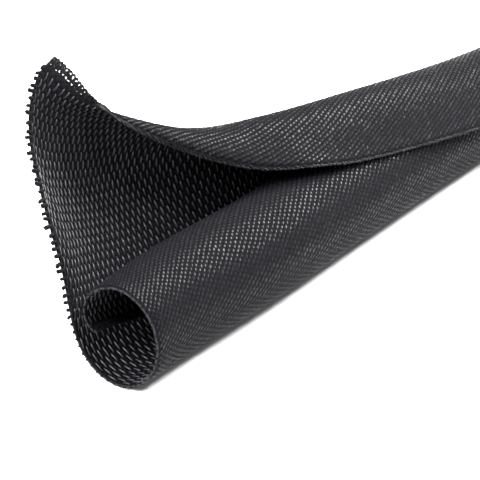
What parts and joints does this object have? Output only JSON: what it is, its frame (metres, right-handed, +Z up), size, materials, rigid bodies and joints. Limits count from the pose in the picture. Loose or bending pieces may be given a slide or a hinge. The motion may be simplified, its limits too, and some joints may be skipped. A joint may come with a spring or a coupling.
{
  "type": "split woven cable sleeve",
  "caption": "Self-wrapping woven cable sleeve, a strip curled lengthwise with an overlap, closed along most of its length and peeled open at one end.",
  "frame": {"origin": "centre of the footprint of the bounding box, on the floor that the sleeve lies on", "axes": "+X along the tube from the peeled end to the closed end, +Z up, the slit faces -Y"},
  "size_m": [0.304, 0.0394, 0.0465],
  "materials": {
    "cloth": "matt black woven polyester with small glints on its filaments"
  },
  "bodies": {
    "root": {"woven_sleeve": "cloth"}
  },
  "joints": []
}
